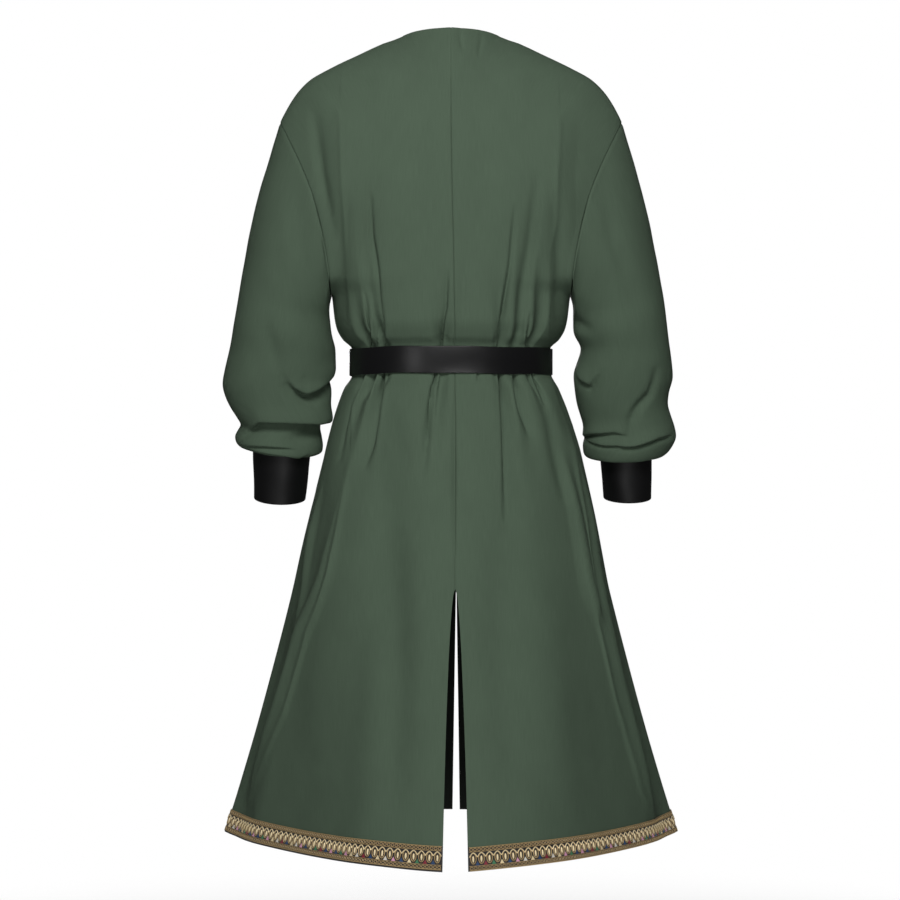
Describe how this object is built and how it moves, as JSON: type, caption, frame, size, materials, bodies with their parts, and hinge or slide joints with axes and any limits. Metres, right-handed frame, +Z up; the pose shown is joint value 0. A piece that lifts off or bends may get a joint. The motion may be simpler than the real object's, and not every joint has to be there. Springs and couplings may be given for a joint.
{
  "type": "robe",
  "caption": "Belted tunic robe in its worn shape with nobody in it: long sleeves in black cuffs, vents at the centre back and front, and a woven band round the hem.",
  "frame": {"origin": "midway between the two points where the shoulder seams meet the neckline", "axes": "+Z up the body, +X to the wearer's left, +Y out of the back; the front faces -Y"},
  "size_m": [0.6663, 0.5275, 1.1597],
  "materials": {
    "cloth": "matte",
    "trim": "woven",
    "cuff": "satin",
    "belt": "satin",
    "buckle": "satin"
  },
  "bodies": {
    "root": {"back_left": "cloth", "back_right": "cloth", "front_left": "cloth", "front_right": "cloth", "sleeve_left": "cloth", "sleeve_right": "cloth", "trim_back_left": "trim", "trim_back_right": "trim", "trim_front_left": "trim", "trim_front_right": "trim", "cuff_left": "cuff", "cuff_right": "cuff", "belt_strap": "belt", "belt_keeper": "belt", "belt_buckle": "buckle", "belt_prong": "buckle"}
  },
  "joints": []
}
